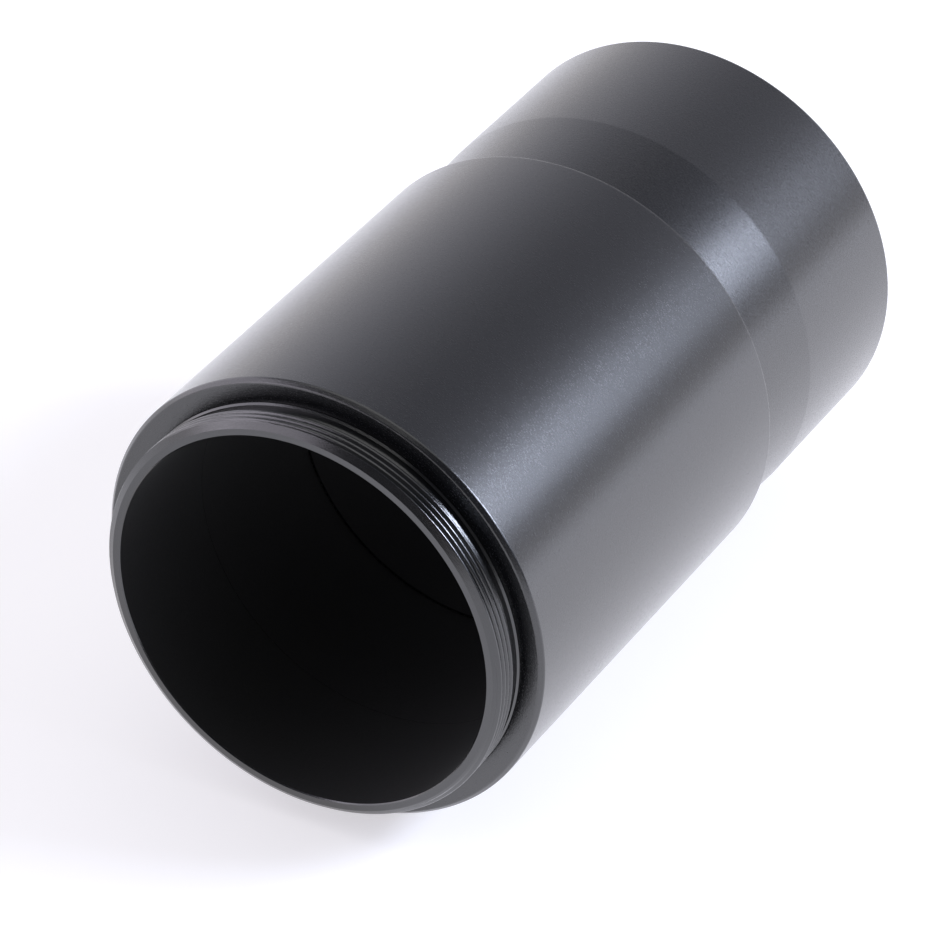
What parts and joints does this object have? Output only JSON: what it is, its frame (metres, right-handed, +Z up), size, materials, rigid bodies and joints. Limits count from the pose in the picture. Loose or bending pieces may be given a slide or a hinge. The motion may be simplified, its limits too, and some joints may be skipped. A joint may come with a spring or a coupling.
{
  "type": "telescope camera adapter",
  "caption": "Round black tube that joins a camera ring to a 2 inch telescope focuser: male camera thread on one end, slide-in nosepiece with a tapered neck on the other.",
  "frame": {"origin": "on the optical axis, in the plane of the front shoulder that a camera ring seats against", "axes": "+Y along the optical axis from the camera thread to the nosepiece, +Z up with the adapter lying on its side as in the picture"},
  "size_m": [0.053, 0.0883, 0.053],
  "materials": {
    "ring_anodise": "satin",
    "barrel_anodise": "satin",
    "nosepiece_anodise": "satin"
  },
  "bodies": {
    "barrel": {"barrel": "barrel_anodise"},
    "camera_ring": {"camera_ring": "ring_anodise"},
    "nosepiece": {"nosepiece": "nosepiece_anodise"}
  },
  "joints": [
    {"name": "camera_ring_unscrew", "type": "slide", "parent": "barrel", "child": "camera_ring", "axis": [0, -1, 0], "range_m": [0, 0.013]},
    {"name": "nosepiece_unscrew", "type": "slide", "parent": "barrel", "child": "nosepiece", "axis": [0, 1, 0], "range_m": [0, 0.0207]}
  ]
}
